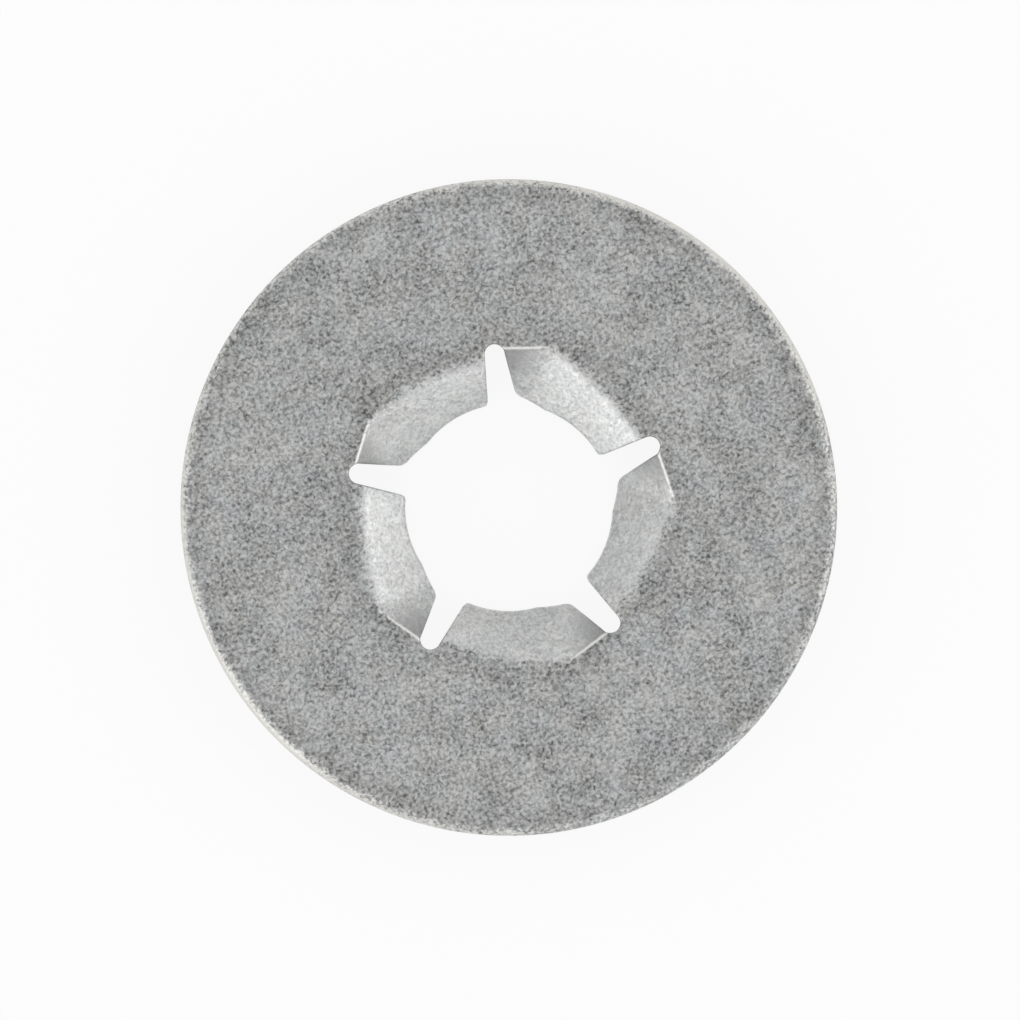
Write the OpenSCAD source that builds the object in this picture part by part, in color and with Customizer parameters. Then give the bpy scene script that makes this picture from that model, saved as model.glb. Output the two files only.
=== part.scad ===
// Push-on nut: one stamped disc of spring steel, pressed over a plain stud.
// Five teeth, each folded on a skew line and dropped at a steep heel, grip the stud below a flat ring.
// Millimetres, +Z up along the stud. The nut rests on its tooth tips at z = 0, flat face up.

/* [Blank] */
// Outside diameter of the disc
outer_d = 14.3; // [12.5:0.1:18]
// Sheet thickness
sheet = 0.5; // [0.45:0.05:0.6]
// Radius rolled onto the upper rim edge by blanking
rim_roll = 0.27; // [0.1:0.01:0.28]
// Small radius on the lower rim edge
rim_break = 0.08; // [0.03:0.01:0.1]

/* [Slots] */
// Number of teeth, and of the slots between them
teeth = 5; // [4:1:6]
// Radius that the round slot ends reach
slot_reach = 3.57; // [3.4:0.05:3.9]
// Slot width at the round end
slot_w = 0.44; // [0.3:0.02:0.5]
// Flare of the slot edge beside a steep heel, in degrees
heel_flare = 10; // [4:1:14]
// Flare of the slot edge beside a toe, in degrees
toe_flare = 1.2; // [0:0.2:4]

/* [Teeth] */
// Share of each tooth, from its heel slot, that drops on the short heel line
heel_share = 0.36; // [0.28:0.01:0.42]
// How far the corner of the fold stands outside the slot ends
corner_out = 0.25; // [0.1:0.01:0.35]
// Angle of the main leg below the ring, in degrees
leg_angle = 42; // [30:1:50]
// Inside radius of the main fold
fold_r_in = 0.16; // [0.12:0.01:0.24]
// Radius in plan of the bowed main fold line
fold_bow_r = 7.2; // [6.5:0.1:12]
// Angle of the steep heel below the ring, in degrees
heel_angle = 48; // [40:1:60]
// Radius of the bowed tip edge, in the plane of the leg
tip_bow_r = 3.4; // [2.5:0.1:6]
// Radius at which the middle of the tip edge stands from the stud axis, before sizing
tip_r = 2.18; // [2.1:0.01:2.22]
// Turn of the tip edge against the fold line, in degrees
tip_turn = 7; // [0:1:14]

/* [Stud] */
// Diameter to which the tooth tips are sized
grip_d = 4.54; // [4.48:0.02:4.64]

/* [Hidden] */
$fn = 80;
eps = 0.01;
pitch = 360 / teeth;
half = pitch / 2;
reach = outer_d / 2;
fold_r_out = fold_r_in + sheet;
slot_end_r = slot_reach - slot_w / 2;
slot_root_r = tip_r / 2;
// the fold lines meet each other just inside the round slot ends
meet_r = slot_reach - 0.2 * slot_w;
corner_r = meet_r + corner_out;
corner_at = half - heel_share * pitch;
// the teeth end inside the slots, which then cut their sides
side_gap = atan(0.15 * slot_w / meet_r);

function polar(r, a) = [r * cos(a), r * sin(a)];
function heading(p, q) = atan2(q[1] - p[1], q[0] - p[0]);

// one tooth stands on +X: its toe slot is at -half, its heel slot at +half
toe_end = polar(meet_r, -half);
corner = polar(corner_r, corner_at);
heel_end = polar(meet_r, half);

// outward direction of each fold line, and its distance from the axis
fold_at = heading(toe_end, corner) - 90;
heel_at = heading(corner, heel_end) - 90;
fold_apothem = corner_r * cos(corner_at - fold_at);
heel_apothem = corner_r * cos(corner_at - heel_at);

// the main fold line bows out between its two ends, about an axis far across the hole
fold_ends = [meet_r * sin(-half - fold_at), corner_r * sin(corner_at - fold_at)];
bow_side = (fold_ends[0] + fold_ends[1]) / 2;
bow_at = fold_apothem - sqrt(pow(fold_bow_r, 2) - pow(fold_ends[1] - bow_side, 2));

// the leg starts where its upper face would meet the ring without the fold radius
tip_side = tip_r * sin(-fold_at);
leg_r = fold_bow_r - fold_r_out * tan(leg_angle / 2);
leg_start = bow_at + sqrt(pow(leg_r, 2) - pow(tip_side - bow_side, 2));
tip_in = leg_start - tip_r * cos(fold_at);
tip_down = tip_in / cos(leg_angle);

// drop of the heel at a distance in from its line
function heel_depth(s) = s * tan(heel_angle);

// the teeth run on into the flat ring, which ends just outside their fold lines
overlap = 0.5;
ring_lap = 0.01;

// the lower face of the heel leaves the ring this far outside the heel line
heel_drop = sheet / cos(heel_angle);
heel_foot = (heel_drop - sheet) / tan(heel_angle);

// distance of the tip edge down the leg at a place y along the fold line
function tip_at(y) =
    tip_down + tip_bow_r * cos(tip_turn)
    - sqrt(pow(tip_bow_r, 2) - pow(y - tip_side + tip_bow_r * sin(tip_turn), 2));

// place and depth of the tip cut at y, a distance t into the sheet from the leg's upper plane
function cut_out(y, t) = leg_start - tip_at(y) * cos(leg_angle) + t * sin(leg_angle);
function cut_depth(y, t) = tip_at(y) * sin(leg_angle) + t * cos(leg_angle);

// how far in the cut meets the bowed leg, found in a few steps, and the flat heel
function leg_depth(out, y) = (leg_r - norm([out - bow_at, y - bow_side])) * tan(leg_angle);
function on_leg(y, drop, t = 0, steps = 5) =
    steps == 0 ? t : on_leg(
        y,
        drop,
        t + (leg_depth(cut_out(y, t), y) + drop - cut_depth(y, t)) * cos(leg_angle),
        steps - 1
    );
function on_heel(y, drop) =
    let (
        turn = heel_at - fold_at,
        fall = heel_depth(heel_apothem - cut_out(y, 0) * cos(turn) - y * sin(turn)) + drop
    )
    (fall - cut_depth(y, 0)) / (cos(leg_angle) + tan(heel_angle) * sin(leg_angle) * cos(turn));

// the nut rests where the heel crease ends in the tip
leg_drop = sheet / cos(leg_angle);
rest_step = 0.001;
rest_depth = max([
    for (y = [0 : rest_step : tip_r])
        cut_depth(y, min(on_leg(y, leg_drop), on_heel(y, heel_drop)))
]);

// half section of the disc: square sheet with its rim edges rounded off
module rim_corner(radius) {
    difference() {
        translate([-radius, -radius])
            square(radius + eps);
        translate([-radius, -radius])
            circle(r = radius);
    }
}

module disc_section() {
    difference() {
        translate([0, -sheet])
            square([reach, sheet]);
        translate([reach, 0])
            rim_corner(rim_roll);
        translate([reach, -sheet])
            mirror([0, 1])
                rim_corner(rim_break);
    }
}

// what lies under a face of the folded sheet, x inwards from the fold line
// flat ring, round bend of the face's own radius, then the straight leg
module under_fold(radius, deep) {
    translate([0, -fold_r_out]) {
        translate([-overlap, -deep])
            square([overlap, deep + radius]);
        circle(r = radius);
        rotate(-leg_angle)
            translate([0, -deep])
                square([meet_r, deep + radius]);
    }
}

// what lies under a face of the heel: flat ring, a sharp edge, then the steep wall
module under_heel(edge, drop, deep) {
    run = meet_r;
    polygon([
        [-overlap, -heel_depth(edge) - drop],
        [edge, -heel_depth(edge) - drop],
        [run, -heel_depth(run) - drop],
        [run, -deep],
        [-overlap, -deep]
    ]);
}

// everything inside a fold line, as far as an inward run
module inside_section(run) {
    translate([-ring_lap, -reach])
        square([run, 2 * reach]);
}

// stands a section up along a fold line that faces outwards at angle turn
module along_fold(turn, apothem) {
    rotate([0, 0, turn])
        translate([apothem, reach, 0])
            rotate([90, 0, 0])
                mirror([1, 0, 0])
                    linear_extrude(height = 2 * reach)
                        children();
}

// turns a section about the far axis of the bowed main fold
module around_fold() {
    rotate([0, 0, fold_at])
        translate([bow_at, bow_side, 0])
            rotate([0, 0, -half])
                rotate_extrude(angle = pitch)
                    translate([fold_bow_r, 0])
                        mirror([1, 0])
                            children();
}

// wedge around the axis, open to angle span on both sides of a tooth
module sector(span) {
    translate([0, 0, -2 * reach])
        linear_extrude(height = 3 * reach)
            polygon([[0, 0], polar(reach, -span), polar(2 * reach, 0), polar(reach, span)]);
}

// share of the opening inside the fold lines of one tooth
module opening() {
    intersection() {
        sector(half + side_gap);
        around_fold()
            inside_section(0.9 * fold_bow_r);
        along_fold(heel_at, heel_apothem)
            inside_section(reach);
    }
}

module ring() {
    difference() {
        rotate_extrude()
            disc_section();
        for (k = [0 : teeth - 1])
            rotate([0, 0, half + k * pitch])
                opening();
    }
}

// the sheet lies between its faces: the higher of leg and heel on top, and both of them below
module tooth() {
    difference() {
        intersection() {
            sector(half - side_gap);
            translate([0, 0, -2 * reach])
                cylinder(r = corner_r + overlap / 5, h = 3 * reach);
            union() {
                around_fold()
                    under_fold(fold_r_out, reach);
                along_fold(heel_at, heel_apothem)
                    under_heel(0, 0, reach);
            }
        }
        around_fold()
            under_fold(fold_r_in, 2 * reach);
        along_fold(heel_at, heel_apothem)
            under_heel(-heel_foot, heel_drop, 2 * reach);
    }
}

// bowed cutter, square to the leg, that leaves the tip edge
module tip_cutter() {
    rotate([0, 0, fold_at])
        translate([leg_start, tip_side, 0])
            rotate([0, -leg_angle, 0])
                translate([-tip_down, 0, -reach])
                    rotate([0, 0, tip_turn])
                        translate([-tip_bow_r, 0, 0])
                            cylinder(r = tip_bow_r, h = 2 * reach);
}

// round-ended slot along +X that opens inwards: heel edge below, toe edge above
module slot_section() {
    run = slot_end_r - slot_root_r;
    translate([slot_end_r, 0])
        circle(d = slot_w);
    polygon([
        [slot_end_r, slot_w / 2],
        [slot_root_r, slot_w / 2 + run * tan(toe_flare)],
        [slot_root_r, -slot_w / 2 - run * tan(heel_flare)],
        [slot_end_r, -slot_w / 2]
    ]);
}

module push_nut() {
    color([0.62, 0.63, 0.63])
    translate([0, 0, rest_depth])
    difference() {
        union() {
            ring();
            for (k = [0 : teeth - 1])
                rotate([0, 0, half + k * pitch])
                    difference() {
                        tooth();
                        tip_cutter();
                    }
        }
        for (k = [0 : teeth - 1])
            rotate([0, 0, k * pitch])
                translate([0, 0, -2 * reach])
                    linear_extrude(height = 3 * reach)
                        slot_section();
        translate([0, 0, -2 * reach])
            cylinder(d = grip_d, h = 3 * reach);
    }
}

push_nut();
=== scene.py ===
"""Dressed model of a round push-on nut: one zinc-plated spring steel stamping.

The nut lies flat face up on its five tooth tips. Its surface is worked out sector by
sector as two height fields over the plan, the upper and the lower sheet face, which are
joined by the rolled rim, the slot walls and the tooth tips.
"""

import logging
import math
from dataclasses import dataclass, field
from enum import Enum
from functools import cached_property
from typing import Callable

import bpy
import numpy as np
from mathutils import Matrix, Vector


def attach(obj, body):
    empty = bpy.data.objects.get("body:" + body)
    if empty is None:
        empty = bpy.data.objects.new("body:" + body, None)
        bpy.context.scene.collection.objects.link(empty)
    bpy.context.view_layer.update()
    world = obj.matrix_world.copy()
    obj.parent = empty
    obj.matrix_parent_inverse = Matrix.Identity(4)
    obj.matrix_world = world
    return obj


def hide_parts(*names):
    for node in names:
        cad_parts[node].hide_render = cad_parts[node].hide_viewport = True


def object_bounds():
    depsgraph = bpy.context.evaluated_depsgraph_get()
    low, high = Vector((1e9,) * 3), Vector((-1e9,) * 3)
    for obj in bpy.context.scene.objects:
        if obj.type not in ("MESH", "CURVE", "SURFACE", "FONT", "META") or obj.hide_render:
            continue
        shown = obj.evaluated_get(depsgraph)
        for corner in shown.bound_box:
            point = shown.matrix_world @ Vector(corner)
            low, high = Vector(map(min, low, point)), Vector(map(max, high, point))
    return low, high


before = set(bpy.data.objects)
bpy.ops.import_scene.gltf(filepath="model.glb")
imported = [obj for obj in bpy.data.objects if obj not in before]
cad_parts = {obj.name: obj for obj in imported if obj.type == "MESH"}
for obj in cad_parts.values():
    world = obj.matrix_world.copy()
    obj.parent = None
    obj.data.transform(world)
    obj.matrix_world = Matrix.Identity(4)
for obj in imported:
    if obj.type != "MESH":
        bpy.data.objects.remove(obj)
CAD_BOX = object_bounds()

LOG = logging.getLogger("push_on_nut")
MM = 0.001
NODE = "push_nut"

# point values: how far the face is formed down, painted shade on the steep heels, painted highlight
# on the rolled rim, painted shade beside the rim and the folds, the distance inside the heel edge,
# and the strength of the painted highlight along it
POINT_VALUES = ("formed", "steep", "burnish", "drawn", "heel_away", "heel_edge")
TINY = 1e-9
BLEND_PER_DEPTH = 1.5
# points within this step of each other, in metres, are welded; the shift keeps whole steps
# off the border between two
WELD = 2e-8
WELD_SHIFT = 0.37

Array = np.ndarray
Pair = tuple[Array, Array]
Colour = tuple[float, float, float]
Socket = bpy.types.NodeSocket
Value = Socket | float | tuple[float, ...]


class Face(Enum):
    """The two faces of the sheet."""

    UPPER = "upper"
    LOWER = "lower"


class Side(Enum):
    """The two slot edges that bound a tooth, with the sign of their angle."""

    TOE = -1
    HEEL = 1


def turn_plan(x: Array, y: Array, degrees: Array | float) -> Pair:
    """Turns plan points about the stud axis by degrees, counter-clockwise."""
    a = np.radians(degrees)
    return x * np.cos(a) - y * np.sin(a), x * np.sin(a) + y * np.cos(a)


def smooth_step(x: Array, low: float, high: float) -> Array:
    """Rises from 0 at low to 1 at high along 3t^2 - 2t^3."""
    t = np.clip((x - low) / (high - low), 0.0, 1.0)
    return t * t * (3.0 - 2.0 * t)


def soft_min(a: Array, b: Array, blend: float) -> Array:
    """Minimum of two depths with a rounded crease: min - h^2 k / 4, h = 1 - |a - b| / k.

    The blend k shrinks to nothing where the depths do, so flat places stay flat.

    Args:
        a: First depths.
        b: Second depths.
        blend: Widest difference over which the two run together.

    Returns:
        The blended depths.
    """
    low = np.minimum(a, b)
    k = np.maximum(np.minimum(blend, BLEND_PER_DEPTH * np.abs(low)), TINY)
    h = np.clip(1.0 - np.abs(a - b) / k, 0.0, 1.0)
    return low - h * h * k / 4.0


def bent_drop(s: Array, radius: float, degrees: float) -> Array:
    """Drop of a face beyond a bend of a given radius, from the start of the arc on.

    The arc falls by r - sqrt(r^2 - s^2) up to s = r sin(a), then the face runs on at
    the angle a.

    Args:
        s: Distance past the start of the arc.
        radius: Radius of the face in the bend.
        degrees: Angle a of the leg.

    Returns:
        The drop, which is 0 before the bend.
    """
    a = math.radians(degrees)
    end = radius * math.sin(a)
    arc = radius - np.sqrt(np.maximum(radius**2 - np.clip(s, 0.0, end) ** 2, 0.0))
    return arc + np.maximum(s - end, 0.0) * math.tan(a)


def edge_drop(gap: Array, radius: float) -> Array:
    """Drop of a broken edge: r - sqrt(r^2 - (r - gap)^2) within the radius r of it."""
    into = np.clip(radius - gap, 0.0, radius)
    return radius - np.sqrt(np.maximum(radius**2 - into**2, 0.0))


def bisect(test: Callable[[Array], Array], low: Array, high: Array, steps: int = 42) -> Array:
    """Finds where a rising test changes sign, for a whole array at once.

    Args:
        test: Function that is negative at low and positive at high.
        low: Lower ends.
        high: Upper ends.
        steps: Number of halvings.

    Returns:
        The places of the sign change.
    """
    low, high = np.array(low, float), np.array(high, float)
    for _ in range(steps):
        mid = (low + high) / 2.0
        under = test(mid) < 0.0
        low, high = np.where(under, mid, low), np.where(under, high, mid)
    return (low + high) / 2.0


def graded(count: int, fine: tuple[float, ...]) -> Array:
    """Steps from 0 to 1 that are fine at both ends and even between.

    Args:
        count: Number of even steps in the middle.
        fine: The first values, which are mirrored at the other end.

    Returns:
        Rising values from 0 to 1.
    """
    start = np.array(fine)
    middle = np.linspace(start[-1], 1.0 - start[-1], count + 1)[1:-1]
    return np.concatenate([start, middle, 1.0 - start[::-1]])


@dataclass(frozen=True)
class NutSizes:
    """Sizes of the stamping in millimetres and degrees.

    Down to grip_d they are those of the part's source. The rest are its fine edges.
    """

    outer_d: float = 14.3
    sheet: float = 0.5
    rim_roll: float = 0.27
    rim_break: float = 0.08
    teeth: int = 5
    slot_reach: float = 3.57
    slot_w: float = 0.44
    heel_flare: float = 10.0
    toe_flare: float = 1.2
    heel_share: float = 0.36
    corner_out: float = 0.25
    leg_angle: float = 42.0
    fold_r_in: float = 0.16
    fold_bow_r: float = 7.2
    heel_angle: float = 48.0
    tip_bow_r: float = 3.4
    tip_r: float = 2.18
    tip_turn: float = 7.0
    grip_d: float = 4.54
    tip_corner_r: float = 0.12
    edge_break: float = 0.045
    low_edge_break: float = 0.02
    heel_edge_r: float = 0.11
    heel_fade: float = 0.1584
    crease_blend: float = 0.16

    @cached_property
    def pitch(self) -> float:
        """Angle from tooth to tooth."""
        return 360.0 / self.teeth

    @cached_property
    def half(self) -> float:
        """Half the angle from tooth to tooth."""
        return self.pitch / 2.0

    @cached_property
    def reach(self) -> float:
        """Outer radius."""
        return self.outer_d / 2.0

    @cached_property
    def fold_r_out(self) -> float:
        """Radius of the upper face in the main fold."""
        return self.fold_r_in + self.sheet

    @cached_property
    def slot_end_r(self) -> float:
        """Radius at which the round slot ends are centred."""
        return self.slot_reach - self.slot_w / 2.0

    @cached_property
    def corner_at(self) -> float:
        """Angle of the corner between the two fold lines."""
        return self.half - self.heel_share * self.pitch

    @cached_property
    def fold_line(self) -> tuple[float, float]:
        """Facing angle and distance from the axis of the long fold line."""
        return self._line(-self.half, self.corner_at, self._meet_r, self._corner_r)

    @cached_property
    def heel_line(self) -> tuple[float, float]:
        """Facing angle and distance from the axis of the short heel line."""
        return self._line(self.corner_at, self.half, self._corner_r, self._meet_r)

    @property
    def _meet_r(self) -> float:
        """Radius at which the fold lines end on the slot axes."""
        return self.slot_reach - 0.2 * self.slot_w

    @property
    def _corner_r(self) -> float:
        """Radius of the corner between the fold lines."""
        return self._meet_r + self.corner_out

    @staticmethod
    def _line(a0: float, a1: float, r0: float, r1: float) -> tuple[float, float]:
        """Line through two polar points.

        Args:
            a0: Angle of the first point, in degrees.
            a1: Angle of the second point.
            r0: Radius of the first point.
            r1: Radius of the second point.

        Returns:
            The angle that the line faces, outwards, and its distance from the axis.
        """
        b0, b1 = math.radians(a0), math.radians(a1)
        dx = r1 * math.cos(b1) - r0 * math.cos(b0)
        dy = r1 * math.sin(b1) - r0 * math.sin(b0)
        facing = math.degrees(math.atan2(dy, dx)) - 90.0
        return facing, r0 * math.cos(b0 - math.radians(facing))

    @cached_property
    def bow_centre(self) -> tuple[float, float]:
        """Centre of the bowed fold line, across and along the chord between its ends."""
        facing, chord = self.fold_line
        ends = (self._meet_r * math.sin(math.radians(-self.half - facing)),
                self._corner_r * math.sin(math.radians(self.corner_at - facing)))
        middle = (ends[0] + ends[1]) / 2.0
        return chord - math.sqrt(self.fold_bow_r**2 - (ends[1] - middle) ** 2), middle

    @cached_property
    def leg_start(self) -> float:
        """Distance from the axis at which the leg's upper face would meet the ring."""
        out, side = self.bow_centre
        radius = self.fold_bow_r - self.fold_r_out * math.tan(math.radians(self.leg_angle / 2))
        return out + math.sqrt(radius**2 - (self.tip_side - side) ** 2)

    @cached_property
    def tip_side(self) -> float:
        """Place of the middle of the tip along the fold line."""
        return self.tip_r * math.sin(math.radians(-self.fold_line[0]))

    @cached_property
    def tip_down(self) -> float:
        """Place of the middle of the tip down the leg."""
        run = self.leg_start - self.tip_r * math.cos(math.radians(self.fold_line[0]))
        return run / math.cos(math.radians(self.leg_angle))


@dataclass(frozen=True)
class FinishBands:
    """Where the painted shade and highlights change over the upper face, in millimetres.

    A pair gives the start and the end of a change, and beside_ the width of a fading.
    The highlight levels give the painted highlight at shares of the way round the rolled rim.
    """

    crease: tuple[float, float] = (-0.1, 0.5)
    heel_top: tuple[float, float] = (0.01, 0.07)
    heel_middle: float = 0.011
    heel_edge: tuple[float, float] = (0.08, 0.5)
    fold_start: tuple[float, float] = (0.0, 0.15)
    beside_fold: float = 0.35
    beside_rim: float = 0.24
    rub_at: tuple[float, ...] = (0.0, 0.2, 0.6, 0.75, 1.0)
    rub: tuple[float, ...] = (0.0, 0.05, 0.95, 1.0, 0.55)


@dataclass(frozen=True)
class SheetForm:
    """Depth of the two sheet faces below the ring, over the plan of one tooth.

    The tooth stands on +X, with its toe slot at minus and its heel slot at plus half a pitch.
    """

    sizes: NutSizes
    bands: FinishBands = field(default_factory=FinishBands)

    def inside_fold(self, x: Array, y: Array) -> Array:
        """Distance inside the bowed fold line: its radius less that from its centre.

        Args:
            x: First coordinates.
            y: Second coordinates.

        Returns:
            The distances, positive towards the axis.
        """
        z = self.sizes
        px, py = turn_plan(x, y, -z.fold_line[0])
        return z.fold_bow_r - np.hypot(px - z.bow_centre[0], py - z.bow_centre[1])

    def inside_heel(self, x: Array, y: Array) -> Array:
        """Distance inside the heel line: its distance from the axis less the point's."""
        facing, distance = self.sizes.heel_line
        return distance - turn_plan(x, y, -facing)[0]

    def depth(self, x: Array, y: Array, face: Face) -> Array:
        """Depth of a face below the ring's upper one: the lesser of the leg's and heel's."""
        base = 0.0 if face is Face.UPPER else self.sizes.sheet
        return base + soft_min(*self._falls(x, y, face), self.sizes.crease_blend)

    def _falls(self, x: Array, y: Array, face: Face) -> Pair:
        """Falls of the folded leg and of the steeper heel below the flat face.

        The heel's fall fades out at the slot's axis, where the next tooth starts.

        Args:
            x: First coordinates.
            y: Second coordinates.
            face: Upper or lower face.

        Returns:
            The leg's and the heel's falls.
        """
        z = self.sizes
        leg_in, heel_in = self.inside_fold(x, y), self.inside_heel(x, y)
        _, beside = turn_plan(x, y, -z.half)
        fade = smooth_step(np.abs(beside), 0.0, z.heel_fade)
        upper = face is Face.UPPER
        edge_r = z.heel_edge_r if upper else z.heel_edge_r / 2.0
        out = (edge_r if upper else z.sheet + edge_r) * math.tan(math.radians(z.heel_angle / 2.0))
        leg = bent_drop(leg_in, z.fold_r_out if upper else z.fold_r_in, z.leg_angle)
        return leg, fade * bent_drop(heel_in + out, edge_r, z.heel_angle)

    def steep(self, x: Array, y: Array) -> Array:
        """Painted shade share of the steeper heel, 1 where its fall is the lesser one."""
        leg, heel = self._falls(x, y, Face.UPPER)
        return smooth_step(leg - heel, *self.bands.crease) * smooth_step(heel, *self.bands.heel_top)

    def heel_edge(self, x: Array, y: Array) -> Pair:
        """Distance inside the sharp heel edge, and its painted highlight's strength, 0 at the fold
        to 1 inside.
        """
        away = self.inside_heel(x, y) - self.bands.heel_middle
        return away, smooth_step(self.inside_fold(x, y), *self.bands.heel_edge)

    def beside_folds(self, x: Array, y: Array) -> Array:
        """Nearness of the flat ring to the folds: exp(-(d / w)^2) for the distance d outside.

        Args:
            x: First coordinates.
            y: Second coordinates.

        Returns:
            Values from 1 at the folds to 0 out on the ring, and 0 well down the teeth.
        """
        inside = np.minimum(self.inside_fold(x, y), self.inside_heel(x, y))
        near = np.exp(-((np.minimum(inside, 0.0) / self.bands.beside_fold) ** 2))
        return near * (1.0 - smooth_step(inside, *self.bands.fold_start))

    def slot_gap(self, x: Array, y: Array, side: Side) -> Array:
        """Distance outside the slot on one side of the tooth.

        Beyond the centre of its round end it is the distance to that centre less the
        radius, and before it the distance to the flared straight edge.

        Args:
            x: First coordinates.
            y: Second coordinates.
            side: Toe or heel slot.

        Returns:
            The distances, which are 0 on the slot edge.
        """
        z = self.sizes
        sx, sy = turn_plan(x, y, -side.value * z.half)
        flare = math.radians(z.toe_flare if side is Side.TOE else z.heel_flare)
        across = np.abs(sy) - z.slot_w / 2.0 - (z.slot_end_r - sx) * math.tan(flare)
        around = np.hypot(sx - z.slot_end_r, sy) - z.slot_w / 2.0
        return np.where(sx < z.slot_end_r, across * math.cos(flare), around)

    def tip_gap(self, x: Array, y: Array, depth: Array) -> Array:
        """Distance outside the tip cut, a bow square to the leg, and outside the stud.

        Args:
            x: First coordinates.
            y: Second coordinates.
            depth: Depths below the ring.

        Returns:
            The lesser distance, which is 0 on the tip.
        """
        z = self.sizes
        px, py = turn_plan(x, y, -z.fold_line[0])
        px, py = px - z.leg_start, py - z.tip_side
        lean = math.radians(z.leg_angle)
        along = px * math.cos(lean) - depth * math.sin(lean) + z.tip_down
        bx, by = turn_plan(along, py, -z.tip_turn)
        bow = np.hypot(bx + z.tip_bow_r, by) - z.tip_bow_r
        return np.minimum(bow, np.hypot(x, y) - z.grip_d / 2.0)

    def slot_edge(self, along: Array, side: Side) -> Pair:
        """Point of a slot edge at a distance along the slot's axis.

        Args:
            along: Distances from the stud axis, along the slot.
            side: Toe or heel slot.

        Returns:
            Plan coordinates: the straight flared edge, then the round end, then the axis.
        """
        z = self.sizes
        flare = math.radians(z.toe_flare if side is Side.TOE else z.heel_flare)
        past = np.maximum(along - z.slot_end_r, 0.0)
        straight = z.slot_w / 2.0 + np.maximum(z.slot_end_r - along, 0.0) * math.tan(flare)
        rounded = np.sqrt(np.maximum((z.slot_w / 2.0) ** 2 - past**2, 0.0))
        across = np.where(along < z.slot_end_r, straight, rounded)
        return turn_plan(along, -side.value * across, side.value * z.half)


@dataclass(frozen=True)
class GridSteps:
    """How finely the sheet is divided, and how its rows are laid onto their edges.

    The fine steps, eases and pulls are shares of a row, and the search is in millimetres.
    """

    across: int = 84
    leg_rows: int = 24
    round_rows: int = 9
    ring_rows: int = 26
    low_ring_rows: int = 12
    roll_rows: int = 14
    break_rows: int = 5
    wall_rows: int = 7
    side_fine: tuple[float, ...] = (0.0, 0.0011, 0.0032, 0.0062, 0.0098, 0.0140)
    tip_fine: tuple[float, ...] = (0.0, 0.0030, 0.0090, 0.0180, 0.0300, 0.0450)
    toe_ease: tuple[float, float] = (0.03, 0.2)
    heel_pull: float = 0.15
    side_pull: float = 0.3
    ring_power: float = 1.5
    tip_search: tuple[float, float] = (1.6, 3.6)


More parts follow.
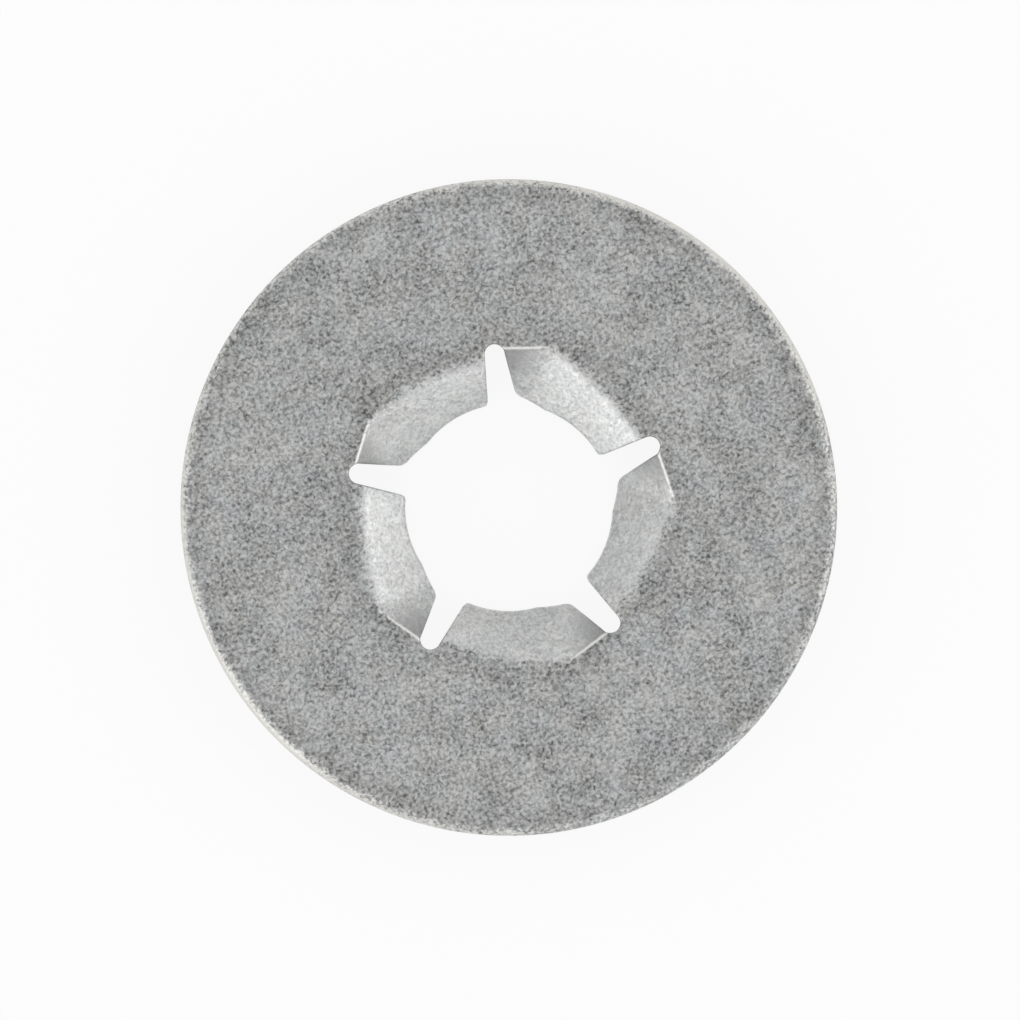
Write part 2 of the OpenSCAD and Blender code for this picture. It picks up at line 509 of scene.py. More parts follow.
@dataclass
class ToothSector:
    """One tooth with its share of the ring, as a closed band of rows from slot to slot.

    The rows run out along the upper face, over the rim, back along the lower face and up
    the tip. Each row runs from the toe slot to the heel slot.
    """

    form: SheetForm
    steps: GridSteps = field(default_factory=GridSteps)

    def _tip_row(self, face: Face) -> Pair:
        """Plan of the tip edge on a face: at each angle, the radius where the tip cut lies.

        Args:
            face: Upper or lower face.

        Returns:
            Plan coordinates from the toe slot to the heel slot.
        """
        f, z = self.form, self.form.sizes

        def on_edge(side: Side) -> float:
            """Angle of the tip's corner on one slot edge."""

            def gap(along: Array) -> Array:
                """Distance outside the tip cut at a place along the slot."""
                x, y = f.slot_edge(along, side)
                return f.tip_gap(x, y, f.depth(x, y, face))

            low = self.steps.tip_search[0]
            along = bisect(gap, np.array([low]), np.array([z.slot_end_r]))
            x, y = f.slot_edge(along, side)
            return float(np.arctan2(y, x)[0])

        angle = on_edge(Side.TOE) + self.across * (on_edge(Side.HEEL) - on_edge(Side.TOE))

        def gap(r: Array) -> Array:
            """Distance outside the tip cut at a radius in each column."""
            x, y = r * np.cos(angle), r * np.sin(angle)
            return f.tip_gap(x, y, f.depth(x, y, face))

        r = bisect(gap, *(np.full_like(angle, end) for end in self.steps.tip_search))
        return r * np.cos(angle), r * np.sin(angle)

    @cached_property
    def across(self) -> Array:
        """Share of the way from the toe slot to the heel slot, one per column."""
        return graded(self.steps.across, self.steps.side_fine)

    def _fold_along(self, side: Side) -> float:
        """Place along a slot at which the row on the fold lines ends.

        At the heel it is where the heel line meets the round end. At the toe the fold line
        grazes the round end, so the row leaves it 30 degrees up the round.

        Args:
            side: Toe or heel slot.

        Returns:
            Distance from the stud axis along the slot.
        """
        f, z = self.form, self.form.sizes
        if side is Side.TOE:
            return z.slot_end_r + z.slot_w / 4.0

        def gap(along: Array) -> Array:
            """Distance outside the heel line at a place along the slot."""
            return -f.inside_heel(*f.slot_edge(along, side))

        return float(bisect(gap, np.array([z.slot_end_r]), np.array([z.slot_reach]))[0])

    def _fold_row(self) -> Pair:
        """Plan of the fold lines: at each angle, the radius of the nearer line.

        Near the toe slot it eases into a plain circle, and near the heel slot it is pulled
        onto the slot's edge by (1 - u / pull)^2.

        Returns:
            Plan coordinates from the toe slot to the heel slot.
        """
        f, z = self.form, self.form.sizes
        ends = [f.slot_edge(np.array([self._fold_along(side)]), side) for side in Side]
        first, last = (float(np.arctan2(y, x)[0]) for x, y in ends)
        angle = first + self.across * (last - first)
        facing, distance = z.heel_line
        r = np.minimum(self._bow_radius(angle), distance / np.cos(angle - math.radians(facing)))
        toe_r, heel_r = (float(np.hypot(x, y)[0]) for x, y in ends)
        near = 1.0 - smooth_step(self.across, *self.steps.toe_ease)
        far = np.clip(1.0 - (1.0 - self.across) / self.steps.heel_pull, 0.0, 1.0) ** 2
        r = r * (1.0 - near) + toe_r * near + far * (heel_r - r[-1])
        return r * np.cos(angle), r * np.sin(angle)

    def _bow_radius(self, angle: Array) -> Array:
        """Radius of the bowed fold line at angles about the stud axis.

        On a ray at angle a from the bow's axis of radius R and centre c, the radius is
        c cos(a) + sqrt(R^2 - c^2 sin^2(a)).

        Args:
            angle: Angles from the tooth's middle, in radians.

        Returns:
            Radii from the stud axis.
        """
        z = self.form.sizes
        out, side = z.bow_centre
        a = angle - math.radians(z.fold_line[0]) - math.atan2(side, out)
        c = math.hypot(out, side)
        return c * np.cos(a) + np.sqrt(z.fold_bow_r**2 - (c * np.sin(a)) ** 2)

    def _patch(self, low: Pair, high: Pair, toe: Pair, heel: Pair) -> Pair:
        """Fills four edge curves: rows ruled from low to high, pulled onto the sides.

        The rows are shared out by the length of the two sides. Each side adds its distance
        from its own chord, times (1 - u / reach)^2 within a reach of the side.

        Args:
            low: First row.
            high: Last row.
            toe: First column.
            heel: Last column.

        Returns:
            Plan coordinates, with one row per point of the sides.
        """
        reach = self.steps.side_pull
        near, far = (np.clip(1.0 - u / reach, 0.0, 1.0) ** 2
                     for u in (self.across, 1.0 - self.across))
        chord = sum(np.hypot(np.diff(x), np.diff(y)) for x, y in (toe, heel))
        v = np.concatenate([[0.0], np.cumsum(chord)])[:, None] / chord.sum()

        def filled(c0: Array, c1: Array, d0: Array, d1: Array) -> Array:
            """One coordinate of the rows, from that of the four curves."""
            pull0, pull1 = (d[:, None] - (1 - v) * d[0] - v * d[-1] for d in (d0, d1))
            return (1 - v) * c0 + v * c1 + near * pull0 + far * pull1

        x, y = (filled(*curves) for curves in zip(low, high, toe, heel))
        return x, y

    def _fold_rise(self, side: Side) -> float:
        """Angle in radians up a slot's round end at which the row on the folds ends."""
        z = self.form.sizes
        return math.asin((self._fold_along(side) - z.slot_end_r) / (z.slot_w / 2.0))

    def _leg_rows(self, face: Face) -> Pair:
        """Plan of a face from the tip to the fold lines.

        Args:
            face: Upper or lower face.

        Returns:
            Plan coordinates, a row per step.
        """
        f, z, n = self.form, self.form.sizes, self.steps
        low = self._tip_row(face)
        fine = np.array(n.tip_fine)
        straight = np.concatenate([fine, np.linspace(fine[-1], 1.0, n.leg_rows)[1:]])
        sides = []
        for side, end in ((Side.TOE, 0), (Side.HEEL, -1)):
            start, _ = turn_plan(low[0][end], low[1][end], -side.value * z.half)
            turn = np.linspace(0.0, self._fold_rise(side), n.round_rows + 1)[1:]
            along = np.concatenate([start + straight * (z.slot_end_r - start),
                                    z.slot_end_r + z.slot_w / 2.0 * np.sin(turn)])
            sides.append(f.slot_edge(along, side))
        return self._patch(low, self._fold_row(), *sides)

    def _ring_rows(self, outer: Array, rows: int) -> Pair:
        """Plan of a face from the fold lines to the rim.

        Args:
            outer: Radius of the rim's edge in each column.
            rows: Number of rows past the slot ends.

        Returns:
            Plan coordinates, without the row on the fold lines.
        """
        f, z, n = self.form, self.form.sizes, self.steps
        angle = np.radians(-z.half + self.across * z.pitch)
        high = (outer * np.cos(angle), outer * np.sin(angle))
        run = np.linspace(0.0, 1.0, rows + 1)[1:] ** n.ring_power
        sides = []
        for side, end in ((Side.TOE, 0), (Side.HEEL, -1)):
            turn = np.linspace(self._fold_rise(side), math.pi / 2.0, n.round_rows + 1)
            along = np.concatenate([z.slot_end_r + z.slot_w / 2.0 * np.sin(turn),
                                    z.slot_reach + run * (outer[end] - z.slot_reach)])
            sides.append(f.slot_edge(along, side))
        x, y = self._patch(self._fold_row(), high, *sides)
        return x[1:], y[1:]

    @property
    def slot_rows(self) -> int:
        """Number of rows of a face from the tip to the end of the slots."""
        n = self.steps
        return len(n.tip_fine) + n.leg_rows - 1 + 2 * n.round_rows

    def _rim(self, roll: Array) -> Pair:
        """Radius and depth round the rim: rolled upper edge, short wall, small lower edge.

        Args:
            roll: Radius of the rolled edge in each column.

        Returns:
            Radii and depths, without the rows that belong to the two faces.
        """
        z, n = self.form.sizes, self.steps
        up = np.radians(np.linspace(0.0, 90.0, n.roll_rows + 1))[1:, None]
        down = np.radians(np.linspace(0.0, 90.0, n.break_rows + 1))[:-1, None]
        radius = np.concatenate([
            z.reach - roll * (1.0 - np.sin(up)),
            z.reach - z.rim_break * (1.0 - np.cos(down)) + 0.0 * roll,
        ])
        depth = np.concatenate([
            roll * (1.0 - np.cos(up)),
            z.sheet - z.rim_break * (1.0 - np.sin(down)) + 0.0 * roll,
        ])
        return radius, depth

    def band(self, rolls: Callable[[Array], Array],
             wear: Callable[[Array], Array]) -> tuple[Array, dict[str, Array]]:
        """All rows of the sector, and the values that the finish, the painted shade and the painted
        highlights need at each point.

        Args:
            rolls: Radius of the rolled rim at an angle in degrees from the tooth.
            highlight: Share of the rolled rim that gets painted highlight at such an angle.

        Returns:
            Points in millimetres as rows, columns and coordinates with the ring's upper
            face at height 0, and named values for each point.
        """
        f, z, n = self.form, self.form.sizes, self.steps
        angle = -z.half + self.across * z.pitch
        roll = rolls(angle)
        parts: dict[Face, Array] = {}
        marks: dict[Face, dict[str, Array]] = {}
        shift: dict[Face, Pair] = {}
        for face, outer, rows, sign, edge in (
            (Face.UPPER, z.reach - roll, n.ring_rows, 1.0, z.edge_break),
            (Face.LOWER, np.full_like(roll, z.reach - z.rim_break), n.low_ring_rows, -1.0,
             z.low_edge_break),
        ):
            legs, ring = self._leg_rows(face), self._ring_rows(outer, rows)
            x, y = (np.concatenate(pair) for pair in zip(legs, ring))
            depth = f.depth(x, y, face)
            gap = np.minimum(f.slot_gap(x, y, Side.TOE), f.slot_gap(x, y, Side.HEEL))
            tip = np.sqrt((x - x[:1]) ** 2 + (y - y[:1]) ** 2 + (depth - depth[:1]) ** 2)
            broken = np.maximum(edge_drop(gap, edge), edge_drop(tip, edge))
            shift[face] = self._corner_shift(x, y)
            x, y = x + shift[face][0], y + shift[face][1]
            depth = f.depth(x, y, face)
            parts[face] = np.stack([x, y, -depth - sign * broken], axis=-1)
            none = np.zeros_like(x)
            marks[face] = dict.fromkeys(POINT_VALUES, none)
            marks[face]["formed"] = depth - (0.0 if face is Face.UPPER else z.sheet)
            if face is Face.UPPER:
                # painted light on the upper face: painted shade on the steep heels, beside the
                # rolled rim and beside the folds, and the strength of the painted highlight along
                # the heel edges
                away, strength = f.heel_edge(x, y)
                inside = np.clip(outer[None, :] - np.hypot(x, y), 0.0, None)
                beside_rim = np.exp(-((inside / f.bands.beside_rim) ** 2))
                marks[face].update(steep=f.steep(x, y), heel_away=away, heel_edge=strength,
                                   drawn=np.maximum(beside_rim, f.beside_folds(x, y)))
        radius, fall = self._rim(roll)
        turn = np.radians(angle)[None, :]
        rim = np.stack([radius * np.cos(turn), radius * np.sin(turn), -fall], axis=-1)
        ends = [np.stack([shift[face][0][0], shift[face][1][0]], axis=-1)
                for face in (Face.LOWER, Face.UPPER)]
        tip = self._tip_wall(parts[Face.LOWER][0], parts[Face.UPPER][0], *ends)
        rows = np.concatenate([parts[Face.UPPER], rim, parts[Face.LOWER][::-1], tip])
        # painted highlight down the rolled rim, changing round the disc, and painted shade that
        # fades out down the roll
        slope = np.clip(np.arange(1, len(rim) + 1) / n.roll_rows, 0.0, 1.0)
        rubbed = np.interp(slope, f.bands.rub_at, f.bands.rub)
        bare = np.zeros(rim.shape[:2])
        round_rim = dict.fromkeys(POINT_VALUES, bare)
        round_rim.update(burnish=rubbed[:, None] * wear(angle),
                         drawn=bare + 1.0 - slope[:, None])
        values = {
            name: np.concatenate([marks[Face.UPPER][name], round_rim[name],
                                  marks[Face.LOWER][name][::-1],
                                  np.full(tip.shape[:2], z.sheet if name == "formed" else 0.0)])
            for name in POINT_VALUES
        }
        return rows, values

    def _corner_shift(self, x: Array, y: Array) -> Pair:
        """Shift in plan that rounds the two corners of the tip.

        With p and q the distances short of the radius from the slot edge and from the tip,
        both shrink by max(p, q) / hypot(p, q), which turns the square corner into a round.

        Args:
            x: First coordinates of a face, the tip's row first.
            y: Second coordinates.

        Returns:
            Shifts of both coordinates.
        """
        f, z = self.form, self.form.sizes
        along = np.stack([np.gradient(y[0]), -np.gradient(x[0])])
        tip_x, tip_y = along / np.hypot(*along)
        q = np.clip(z.tip_corner_r - np.hypot(x - x[:1], y - y[:1]), 0.0, None)
        move_x, move_y = np.zeros_like(x), np.zeros_like(y)
        for side, flare in ((Side.TOE, z.toe_flare), (Side.HEEL, z.heel_flare)):
            a = math.radians(flare)
            side_x, side_y = turn_plan(math.sin(a), -side.value * math.cos(a), side.value * z.half)
            p = np.clip(z.tip_corner_r - f.slot_gap(x, y, side), 0.0, z.tip_corner_r)
            cut = 1.0 - np.maximum(p, q) / np.maximum(np.hypot(p, q), TINY)
            cut = np.where(np.minimum(p, q) > 0.0, cut, 0.0)
            turn = side_x * tip_y - side_y * tip_x
            move_x += cut * (p * tip_y - q * side_y) / turn
            move_y += cut * (q * side_x - p * tip_x) / turn
        return move_x, move_y

    def _tip_wall(self, low: Array, high: Array, low_shift: Array, high_shift: Array) -> Array:
        """Rows up the tip, each on the tip cut at its own height.

        Args:
            low: Lower tip edge.
            high: Upper tip edge.
            low_shift: Shift by which the lower edge's corners were rounded.
            high_shift: Shift by which the upper edge's corners were rounded.

        Returns:
            Points between the two edges, from low to high.
        """
        f, n = self.form, self.steps
        share = np.linspace(0.0, 1.0, n.wall_rows + 2)[1:-1, None]
        height = low[None, :, 2] * (1 - share) + high[None, :, 2] * share
        square = [edge[:, :2] - moved for edge, moved in ((low, low_shift), (high, high_shift))]
        a0, a1 = (np.arctan2(p[:, 1], p[:, 0]) for p in square)
        angle = a0[None, :] * (1 - share) + a1[None, :] * share

        def gap(r: Array) -> Array:
            """Distance outside the tip cut at a radius, at each point's own height."""
            return f.tip_gap(r * np.cos(angle), r * np.sin(angle), -height)

        r = bisect(gap, *(np.full_like(angle, end) for end in n.tip_search))
        round_x, round_y = (low_shift[None, :, i] * (1 - share) + high_shift[None, :, i] * share
                            for i in (0, 1))
        return np.stack([r * np.cos(angle) + round_x, r * np.sin(angle) + round_y, height], axis=-1)

    def side_wall(self, rows: Array, column: int) -> Array:
        """Wall of a slot, ruled from the upper edge to the lower edge of the band.

        Args:
            rows: The band's rows.
            column: Column on the slot edge, 0 or -1.

        Returns:
            Points along the slot and down the wall. The first line is the tip's.
        """
        n = self.steps
        edge = rows[:, column]
        tip = edge[-n.wall_rows:][::-1]
        low = edge[: -n.wall_rows][::-1][: self.slot_rows]
        high = edge[: self.slot_rows]
        share = np.linspace(0.0, 1.0, n.wall_rows + 2)[None, :, None]
        wall = high[:, None] * (1 - share) + low[:, None] * share
        wall[0, 1:-1] = tip
        return wall


def grid_faces(index: Array) -> Array:
    """Quads of a grid of corner numbers, row by row."""
    return np.stack([index[:-1, :-1], index[1:, :-1], index[1:, 1:], index[:-1, 1:]],
                    axis=-1).reshape(-1, 4)


@dataclass
class PushNut:
    """The whole stamping: the sectors turned round the stud axis and welded together.

    A wave is given as its number round the disc, its height and its phase.
    """

    sizes: NutSizes = field(default_factory=NutSizes)
    roll_waves: tuple[tuple[int, float, float], ...] = (
        (2, 0.10, 0.7), (5, 0.06, 2.1), (11, 0.04, 4.0),
    )
    # painted highlight round the rolled rim: its waves and mean
    wear_waves: tuple[tuple[int, float, float], ...] = ((1, 0.32, -1.92), (2, 0.44, -0.74))
    wear_mean: float = 0.52

    def roll_at(self, degrees: Array) -> Array:
        """Radius of the rolled rim round the disc: the mean times one plus a few slow sines.

        Args:
            degrees: Angles round the disc.

        Returns:
            Radii of the rolled edge.
        """
        a = np.radians(degrees)
        wave = sum(high * np.sin(count * a + phase) for count, high, phase in self.roll_waves)
        return self.sizes.rim_roll * (1.0 + wave)

    def wear_at(self, degrees: Array) -> Array:
        """Share of the rolled rim that gets painted highlight: the mean plus two slow cosines.

        Args:
            degrees: Angles round the disc.

        Returns:
            Shares between 0 and 1.
        """
        a = np.radians(degrees)
        wave = sum(high * np.cos(count * a + phase) for count, high, phase in self.wear_waves)
        return np.clip(self.wear_mean + wave, 0.0, 1.0)

    def surface(self, lift: float) -> tuple[Array, Array, dict[str, Array]]:
        """Corners, faces and point values of the welded nut.

        Args:
            lift: Height of the ring's upper face in millimetres.

        Returns:
            Points in metres, quads, and named values per point.
        """
        z = self.sizes
        sector = ToothSector(SheetForm(z))
        points, quads = [], []
        values: dict[str, list[Array]] = {}
        start = 0
        for k in range(z.teeth):
            middle = z.half + k * z.pitch
            rows, marks = sector.band(lambda a: self.roll_at(a + middle),
                                      lambda a: self.wear_at(a + middle))
            grids = [np.concatenate([rows, rows[:1]])]
            for column in (0, -1):
                wall = sector.side_wall(rows, column)
                grids.append(wall[:, ::-1] if column == 0 else wall)
            for name, mark in marks.items():
                drops = [np.concatenate([mark, mark[:1]])]
                for column, wall in zip((0, -1), grids[1:]):
                    side = mark[: len(wall), column][:, None]
                    drops.append(np.broadcast_to(side, wall.shape[:2]))
                values.setdefault(name, []).extend(drop.reshape(-1) for drop in drops)
            for grid in grids:
                x, y = turn_plan(grid[..., 0], grid[..., 1], middle)
                points.append(np.stack([x, y, grid[..., 2] + lift], axis=-1).reshape(-1, 3))
                index = start + np.arange(x.size).reshape(x.shape)
                quads.append(grid_faces(index))
                start += x.size
        co = np.concatenate(points) * MM
        _, first, back = np.unique(np.round(co / WELD + WELD_SHIFT).astype(np.int64), axis=0,
                                   return_index=True, return_inverse=True)
        faces = back.reshape(-1)[np.concatenate(quads)]
        return co[first], faces, {name: np.concatenate(v)[first] for name, v in values.items()}

    def build(self) -> bpy.types.Object:
        """Makes the nut's object, smooth shaded, with its point values.

        Returns:
            The new object, at the origin.
        """
        top = float(CAD_BOX[1].z) / MM
        co, faces, values = self.surface(top)
        mesh = bpy.data.meshes.new("zinc_plated_nut")
        mesh.from_pydata(co, [], faces)
        mesh.polygons.foreach_set("use_smooth", np.ones(len(mesh.polygons), bool))
        for name, value in values.items():
            layer = mesh.attributes.new(name, "FLOAT", "POINT")
            layer.data.foreach_set("value", value.astype(np.float32))
        mesh.validate()
        mesh.update()
        nut = bpy.data.objects.new("zinc_plated_nut", mesh)
        bpy.context.scene.collection.objects.link(nut)
        return nut


@dataclass(frozen=True)
class NodeDesk:
    """Places nodes in one tree and links them."""

    tree: bpy.types.NodeTree

    def add(self, kind: str, inputs: dict[str | int, Value] | None = None,
            **settings: object) -> bpy.types.Node:
        """Adds a node.

        Args:
            kind: Type of the node.
            inputs: What goes into it by name or number: a socket is linked, a value is set.
            **settings: Properties of the node, which are set first.

        Returns:
            The new node.
        """
        node = self.tree.nodes.new(kind)
        for name, setting in settings.items():
            setattr(node, name, setting)
        for key, value in (inputs or {}).items():
            if isinstance(value, Socket):
                self.tree.links.new(value, node.inputs[key])
            else:
                node.inputs[key].default_value = value
        return node

    def maths(self, operation: str, *values: Value, clamp: bool = False) -> Socket:
        """Works out one operation on sockets or numbers, held within 0 to 1 if clamped."""
        node = self.add("ShaderNodeMath", dict(enumerate(values)), operation=operation,
                        use_clamp=clamp)
        return node.outputs["Value"]

    def ranged(self, value: Socket, start: tuple[float, float],
               end: tuple[float, float] = (0.0, 1.0), ease: bool = False) -> Socket:
        """Maps a value from one range to another and holds it there, eased if asked."""
        node = self.add("ShaderNodeMapRange", {
            "Value": value,
            "From Min": start[0], "From Max": start[1], "To Min": end[0], "To Max": end[1],
        }, interpolation_type="SMOOTHSTEP" if ease else "LINEAR")
        return node.outputs["Result"]

    def mixed(self, factor: Socket, under: Socket | Colour, over: Socket | Colour) -> Socket:
        """Lays one colour over another.

        Args:
            factor: Share of the upper colour.
            under: Lower colour, a socket or a plain colour.
            over: Upper colour.

        Returns:
            The socket with the mixed colour.
        """
        a, b = (c if isinstance(c, Socket) else (*c, 1.0) for c in (under, over))
        node = self.add("ShaderNodeMix", {"Factor": factor, "A": a, "B": b}, data_type="RGBA")
        return node.outputs["Result"]

    def noise(self, place: Socket, scale: Socket, detail: float, roughness: float,
              distortion: float = 0.0) -> bpy.types.bpy_prop_collection:
        """Adds a noise, read at a place, and returns its outputs."""
        return self.add("ShaderNodeTexNoise", {
            "Vector": place, "Scale": scale, "Detail": detail, "Roughness": roughness,
            "Distortion": distortion,
        }).outputs


def cleared_desk(owner: bpy.types.Material | bpy.types.World) -> NodeDesk:
    """Empties the nodes of a material or a world.

    Args:
        owner: The material or world.

    Returns:
        The desk for its nodes.
    """
    owner.use_nodes = True
    owner.node_tree.nodes.clear()
    return NodeDesk(owner.node_tree)


@dataclass(frozen=True)
class ZincFinish:
    """Colours and grain of the zinc plating, and colours that paint shade and highlights onto it.

    A name with _at gives the point values at which a colour starts and is full, and how much
    of the grain breaks it up. A name with _share gives the full share of a colour.
    """

    pit: Colour = (0.13, 0.13, 0.128)
    cool_shine: Colour = (0.655, 0.685, 0.70)
    warm_shine: Colour = (0.70, 0.69, 0.665)
    formed: Colour = (0.685, 0.695, 0.69)
    formed_at: tuple[float, float, float] = (0.008, 0.06, 0.08)
    formed_share: float = 0.45
    # painted shade on the steep heels
    steep: Colour = (0.24, 0.243, 0.238)
    steep_at: tuple[float, float, float] = (0.0, 1.0, 0.6)
    steep_share: float = 0.62
    # painted shade beside the rolled rim, beside the folds and at the start of the roll, with more
    # dark pits there
    drawn: Colour = (0.25, 0.245, 0.23)
    drawn_at: tuple[float, float] = (0.0, 1.0)
    drawn_share: float = 0.08
    drawn_pits: float = 0.09
    # painted highlight on the rolled rim
    worn: Colour = (0.70, 0.685, 0.65)
    worn_at: tuple[float, float, float] = (0.02, 0.95, 1.1)
    # bright colour of the scuffs on the teeth and of the painted highlight along the heel edges
    edge: Colour = (0.82, 0.82, 0.80)
    edge_half: float = 0.05
    edge_at: tuple[float, float, float] = (0.0, 1.0, 1.2)
    scuff_share: float = 0.55
    grain_scale: float = 13500.0
    clump_scale: float = 1100.0
    face_roughness: float = 0.5
    formed_roughness: float = 0.42
    bump_strength: float = 0.5
    bump_depth: float = 0.000006

    def dress(self, nut: bpy.types.Object) -> None:
        """Gives the nut its plated material, with painted shade and painted highlights.

        Args:
            nut: The nut's object.
        """
        material = bpy.data.materials.new("zinc_plating")
        desk = cleared_desk(material)
        place = desk.add("ShaderNodeTexCoord")
        grain = desk.add("ShaderNodeGroup", {
            "Vector": place.outputs["Object"],
            "Grain Scale": self.grain_scale, "Clump Scale": self.clump_scale,
        }, node_tree=zinc_grain_group()).outputs

        def share(name: str, low: float, high: float, grit: float = 0.0,
                  most: float = 1.0) -> Socket:
            """Eased share of a point value.

            Args:
                name: Name of the point value.
                low: Value at which the share starts.
                high: Value at which it is full.
                grit: How much of the grain's height, about one half, is added to the value.
                most: The full share.

            Returns:
                The socket with the share.
            """
            value = desk.add("ShaderNodeAttribute", attribute_name=name).outputs["Fac"]
            rough = desk.maths("MULTIPLY_ADD", grain["Height"], grit, value)
            middle = 0.5 * grit
            return desk.ranged(rough, (low + middle, high + middle), (0.0, most), ease=True)

        def times(a: Socket, b: Value) -> Socket:
            """Product of two values."""
            return desk.maths("MULTIPLY", a, b)

        formed, drawn = share("formed", *self.formed_at), share("drawn", *self.drawn_at)
        # thin band along the heel edges for the painted highlight
        line = times(share("heel_away", -self.edge_half, 0.0),
                     share("heel_away", self.edge_half, 0.0))
        # more dark pits where the painted shade beside the rim and the folds lies
        shine = desk.maths("MULTIPLY_ADD", drawn, -self.drawn_pits, grain["Speckle"], clamp=True)
        hue = desk.mixed(grain["Tint"], self.cool_shine, self.warm_shine)
        colour = desk.mixed(shine, self.pit, hue)
        for factor, over in (
            # painted shade beside the rim and the folds
            (times(drawn, self.drawn_share), self.drawn),
            (times(formed, self.formed_share), self.formed),
            (times(times(formed, grain["Scuff"]), self.scuff_share), self.edge),
            # painted shade on the steep heels
            (share("steep", *self.steep_at, self.steep_share), self.steep),
            # painted highlight on the rolled rim
            (share("burnish", *self.worn_at), self.worn),
            # painted highlight along the heel edges
            (times(line, share("heel_edge", *self.edge_at)), self.edge),
        ):
            colour = desk.mixed(factor, colour, over)

        rough = desk.ranged(formed, (0.0, 1.0), (self.face_roughness, self.formed_roughness))
        bump = desk.add("ShaderNodeBump", {
            "Strength": self.bump_strength, "Distance": self.bump_depth,
            "Height": grain["Height"],
        })
        shader = desk.add("ShaderNodeBsdfPrincipled", {
            "Metallic": 1.0, "Base Color": colour, "Roughness": rough,
            "Normal": bump.outputs["Normal"],
        })
        desk.add("ShaderNodeOutputMaterial", {"Surface": shader.outputs["BSDF"]})
        nut.data.materials.clear()
        nut.data.materials.append(material)


def zinc_grain_group() -> bpy.types.NodeTree:
    """Node group of the plating's grain: fine dark pits that gather in soft clumps.

    With t the noise stretched to 0..1, the speckle is 1 - (1 - t)^lean, which leans to the
    bright side and leaves a long tail of dark pits.

    Returns:
        The group, with a vector and two scales in, and speckle, height, tint and scuff out.
    """
    lean, clump_spread, rub_size = 1.28, 0.09, 0.45
    clump_range, pit_range, rub_range = (0.3, 0.7), (0.2, 0.8), (0.5, 0.68)
    group = bpy.data.node_groups.new("zinc_grain", "ShaderNodeTree")
    for name, kind in (("Vector", "Vector"), ("Grain Scale", "Float"), ("Clump Scale", "Float")):
        group.interface.new_socket(name, in_out="INPUT", socket_type=f"NodeSocket{kind}")
    for name in ("Speckle", "Height", "Tint", "Scuff"):
        group.interface.new_socket(name, in_out="OUTPUT", socket_type="NodeSocketFloat")
    desk = NodeDesk(group)
    source = desk.add("NodeGroupInput").outputs
    place, scale = source["Vector"], source["Grain Scale"]

    grain = desk.noise(place, scale, detail=1.0, roughness=0.5, distortion=0.5)
    clump = desk.noise(place, source["Clump Scale"], detail=3.0, roughness=0.75)
    shift = desk.ranged(clump["Fac"], clump_range, (-clump_spread, clump_spread))
    height = desk.maths("ADD", grain["Fac"], shift)
    lack = desk.ranged(height, pit_range, (1.0, 0.0))
    speckle = desk.maths("SUBTRACT", 1.0, desk.maths("POWER", lack, lean))

    channels = desk.add("ShaderNodeSeparateColor", {"Color": clump["Color"]})
    tint = desk.ranged(channels.outputs["Green"], clump_range)

    coarse = desk.maths("MULTIPLY", scale, rub_size)
    rubs = desk.noise(place, coarse, detail=2.0, roughness=0.65, distortion=1.2)
    scuff = desk.ranged(rubs["Fac"], rub_range, ease=True)
    desk.add("NodeGroupOutput",
             {"Speckle": speckle, "Height": height, "Tint": tint, "Scuff": scuff})
    return group


@dataclass(frozen=True)
class Softbox:
    """A soft rectangular lamp round the nut, by where it stands in the picture."""

    name: str
    azimuth: float
    elevation: float
    distance: float
    width: float
    height: float
    radiance: float

    def place(self, roll: float) -> None:
        """Puts the lamp up, facing the nut.

        A lamp of area A gives the radiance L with a power of pi A L.

        Args:
            roll: Turn of the picture against the part, in degrees.
        """
        data = bpy.data.lights.new(self.name, "AREA")
        data.shape = "RECTANGLE"
        data.size, data.size_y = self.width, self.height
        data.energy = math.pi * self.width * self.height * self.radiance
        lamp = bpy.data.objects.new(self.name, data)
        a, e = math.radians(self.azimuth + roll), math.radians(self.elevation)
        out = Vector((math.cos(a) * math.cos(e), math.sin(a) * math.cos(e), math.sin(e)))
        lamp.location = out * self.distance
        lamp.rotation_mode = "QUATERNION"
        lamp.rotation_quaternion = out.to_track_quat("Z", "Y")
        bpy.context.scene.collection.objects.link(lamp)


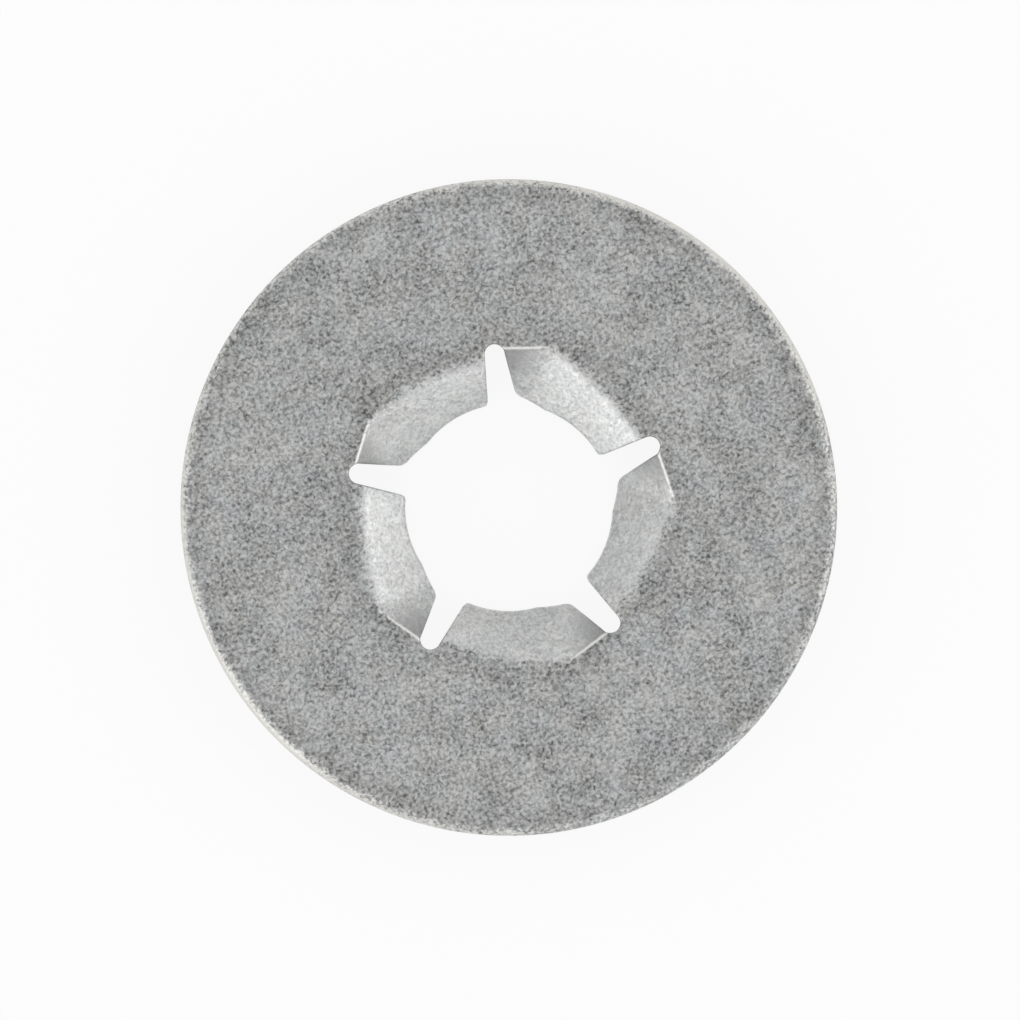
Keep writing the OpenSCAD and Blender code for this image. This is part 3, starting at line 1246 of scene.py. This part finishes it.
@dataclass
class Studio:
    """Pale floor, soft lamps, plain surroundings and the camera straight above."""

    roll: float = -23.3
    lens: float = 200.0
    sensor: float = 36.0
    image: float = 1020.0
    disc_pixels: float = 658.2
    centre: tuple[float, float] = (508.8, 507.4)
    floor_size: float = 0.6
    floor_gap: float = 2e-6
    floor_grey: Colour = (0.85, 0.85, 0.85)
    floor_glow: float = 0.88
    sky_heights: tuple[float, float] = (0.1, 0.95)
    sky_shades: tuple[float, float] = (1.10, 0.75)
    softboxes: tuple[Softbox, ...] = (
        Softbox("right_softbox", 357.0, 18.0, 0.30, 0.26, 0.17, 0.84),
        Softbox("lower_left_softbox", 216.0, 18.0, 0.30, 0.24, 0.17, 0.95),
        Softbox("lower_softbox", 295.0, 18.0, 0.30, 0.20, 0.17, 0.3),
    )

    def floor(self) -> None:
        """Lays the pale floor: white to the camera and in reflections, with a soft shadow."""
        half = self.floor_size / 2.0
        mesh = bpy.data.meshes.new("floor")
        corners = np.array([[-1, -1], [1, -1], [1, 1], [-1, 1]]) * half
        mesh.from_pydata(np.column_stack([corners, np.full(4, -self.floor_gap)]), [],
                         [(0, 1, 2, 3)])
        floor = bpy.data.objects.new("floor", mesh)
        bpy.context.scene.collection.objects.link(floor)
        material = bpy.data.materials.new("pale_floor")
        desk = cleared_desk(material)
        path = desk.add("ShaderNodeLightPath").outputs
        seen = desk.maths("MAXIMUM", path["Is Camera Ray"], path["Is Glossy Ray"])
        seen = desk.maths("MAXIMUM", seen, path["Is Transmission Ray"])
        matt = desk.add("ShaderNodeBsdfDiffuse", {"Color": (*self.floor_grey, 1.0)})
        glow = desk.add("ShaderNodeEmission")
        mix = desk.add("ShaderNodeMixShader", {
            "Fac": desk.maths("MULTIPLY", seen, self.floor_glow),
            1: matt.outputs["BSDF"],
            2: glow.outputs["Emission"],
        })
        desk.add("ShaderNodeOutputMaterial", {"Surface": mix.outputs["Shader"]})
        mesh.materials.append(material)

    def surroundings(self) -> None:
        """Sets the plain surroundings: pale at the horizon, dimmer straight above."""
        world = bpy.data.worlds.new("studio")
        desk = cleared_desk(world)
        place = desk.add("ShaderNodeTexCoord")
        split = desk.add("ShaderNodeSeparateXYZ", {"Vector": place.outputs["Generated"]})
        shade = desk.ranged(split.outputs["Z"], self.sky_heights, self.sky_shades)
        back = desk.add("ShaderNodeBackground", {"Color": shade})
        desk.add("ShaderNodeOutputWorld", {"Surface": back.outputs["Background"]})
        bpy.context.scene.world = world

    def camera(self, disc: float, top: float) -> None:
        """Puts the camera straight above, turned and framed as in the photograph.

        Args:
            disc: Diameter of the disc in metres.
            top: Height of its upper face in metres.
        """
        data = bpy.data.cameras.new("camera")
        data.lens, data.sensor_width = self.lens, self.sensor
        data.clip_start, data.clip_end = 0.001, 10.0
        pixel = disc / self.disc_pixels
        right = (self.image / 2.0 - self.centre[0]) * pixel
        up = -(self.image / 2.0 - self.centre[1]) * pixel
        a = math.radians(self.roll)
        camera = bpy.data.objects.new("camera", data)
        away = self.image * pixel * self.lens / self.sensor
        camera.location = (right * math.cos(a) - up * math.sin(a),
                           right * math.sin(a) + up * math.cos(a), top + away)
        camera.rotation_euler = (0.0, 0.0, a)
        bpy.context.scene.collection.objects.link(camera)
        bpy.context.scene.camera = camera

    def build(self, disc: float, top: float) -> None:
        """Builds the whole studio.

        Args:
            disc: Diameter of the disc in metres.
            top: Height of its upper face in metres.
        """
        self.floor()
        self.surroundings()
        for softbox in self.softboxes:
            softbox.place(self.roll)
        self.camera(disc, top)
        bpy.context.scene.view_settings.view_transform = "Standard"


def main() -> None:
    """Builds the nut and its studio, and reports each piece."""
    logging.basicConfig(level=logging.INFO)
    nut = PushNut().build()
    ZincFinish().dress(nut)
    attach(nut, "root")
    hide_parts(NODE)
    LOG.info("%s: %d points, %d faces", nut.name, len(nut.data.vertices), len(nut.data.polygons))
    Studio().build(float(CAD_BOX[1].x - CAD_BOX[0].x), float(CAD_BOX[1].z))


if __name__ == "__main__":
    main()
